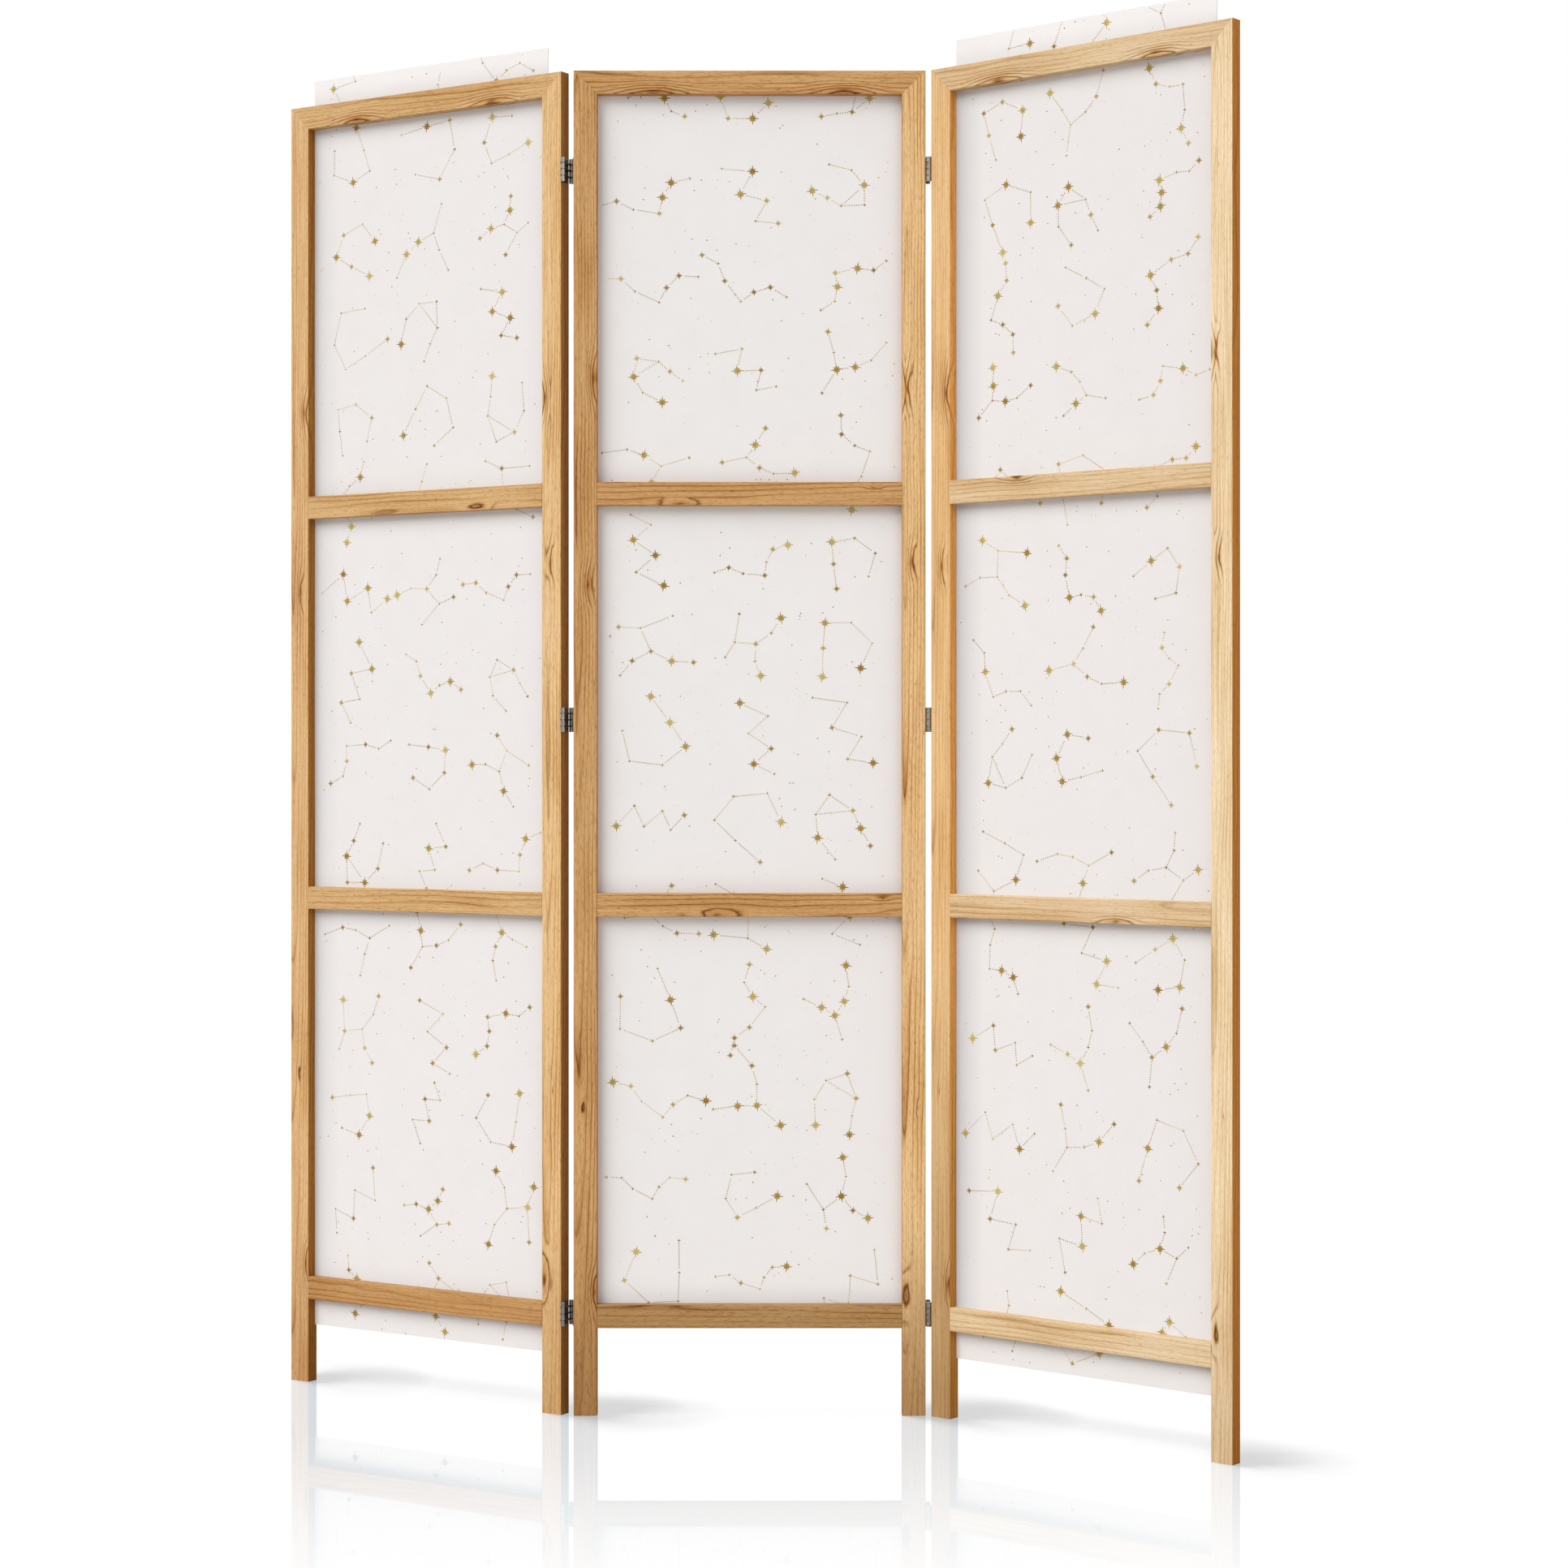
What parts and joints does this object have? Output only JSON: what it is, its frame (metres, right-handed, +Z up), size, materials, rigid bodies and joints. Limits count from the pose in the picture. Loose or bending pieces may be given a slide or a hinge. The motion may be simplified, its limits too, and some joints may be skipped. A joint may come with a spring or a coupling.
{
  "type": "folding screen",
  "caption": "Free-standing folding screen: pine frames with stretched printed sheets, joined by double-acting steel hinges that fold either way.",
  "frame": {"origin": "on the floor, under the middle of the box round the screen as it stands folded in the picture", "axes": "+Z up, the centre panel's front faces -Y, +X to the viewer's right"},
  "size_m": [1.2106, 0.5494, 1.756],
  "materials": {
    "pine_frame": "planed and clear-lacquered knotty pine",
    "pine_batten": "planed pine",
    "beech_dowel": "turned beech",
    "printed_sheet": "woven off-white sheet with a gold print",
    "hinge_steel": "nickel-plated",
    "screw_steel": "zinc-plated"
  },
  "bodies": {
    "centre_panel": {"centre_panel_batten_screws": "screw_steel", "centre_panel_bottom_batten": "pine_batten", "centre_panel_bottom_rail": "pine_frame", "centre_panel_dowels": "beech_dowel", "centre_panel_hinge_screws": "screw_steel", "centre_panel_left_high_leaf": "hinge_steel", "centre_panel_left_low_leaf": "hinge_steel", "centre_panel_left_middle_leaf": "hinge_steel", "centre_panel_left_stile": "pine_frame", "centre_panel_lower_batten": "pine_batten", "centre_panel_lower_rail": "pine_frame", "centre_panel_right_high_leaf": "hinge_steel", "centre_panel_right_low_leaf": "hinge_steel", "centre_panel_right_middle_leaf": "hinge_steel", "centre_panel_right_stile": "pine_frame", "centre_panel_sheet": "printed_sheet", "centre_panel_top_batten": "pine_batten", "centre_panel_top_rail": "pine_frame", "centre_panel_upper_batten": "pine_batten", "centre_panel_upper_rail": "pine_frame"},
    "left_links": {"left_hinge_links": "hinge_steel", "left_hinge_pins": "hinge_steel"},
    "left_panel": {"left_panel_batten_screws": "screw_steel", "left_panel_bottom_batten": "pine_batten", "left_panel_bottom_rail": "pine_frame", "left_panel_dowels": "beech_dowel", "left_panel_high_leaf": "hinge_steel", "left_panel_hinge_screws": "screw_steel", "left_panel_left_stile": "pine_frame", "left_panel_low_leaf": "hinge_steel", "left_panel_lower_batten": "pine_batten", "left_panel_lower_rail": "pine_frame", "left_panel_middle_leaf": "hinge_steel", "left_panel_right_stile": "pine_frame", "left_panel_sheet": "printed_sheet", "left_panel_top_batten": "pine_batten", "left_panel_top_rail": "pine_frame", "left_panel_upper_batten": "pine_batten", "left_panel_upper_rail": "pine_frame"},
    "right_links": {"right_hinge_links": "hinge_steel", "right_hinge_pins": "hinge_steel"},
    "right_panel": {"right_panel_batten_screws": "screw_steel", "right_panel_bottom_batten": "pine_batten", "right_panel_bottom_rail": "pine_frame", "right_panel_dowels": "beech_dowel", "right_panel_high_leaf": "hinge_steel", "right_panel_hinge_screws": "screw_steel", "right_panel_left_stile": "pine_frame", "right_panel_low_leaf": "hinge_steel", "right_panel_lower_batten": "pine_batten", "right_panel_lower_rail": "pine_frame", "right_panel_middle_leaf": "hinge_steel", "right_panel_right_stile": "pine_frame", "right_panel_sheet": "printed_sheet", "right_panel_top_batten": "pine_batten", "right_panel_top_rail": "pine_frame", "right_panel_upper_batten": "pine_batten", "right_panel_upper_rail": "pine_frame"}
  },
  "joints": [
    {"name": "left_fold_back", "type": "hinge", "parent": "centre_panel", "child": "left_links", "pos_m": [-0.21113, 0.03511, 0], "axis": [0, 0, 1], "range_deg": [-148, 32]},
    {"name": "left_fold_forward", "type": "hinge", "parent": "left_links", "child": "left_panel", "pos_m": [-0.22119, 0.019, 0], "axis": [0, 0, 1], "range_deg": [0, 90]},
    {"name": "right_fold_back", "type": "hinge", "parent": "centre_panel", "child": "right_links", "pos_m": [0.24627, 0.03511, 0], "axis": [0, 0, 1], "range_deg": [0, 90]},
    {"name": "right_fold_forward", "type": "hinge", "parent": "right_links", "child": "right_panel", "pos_m": [0.24627, 0.01611, 0], "axis": [0, 0, 1], "range_deg": [-140, 40]}
  ]
}
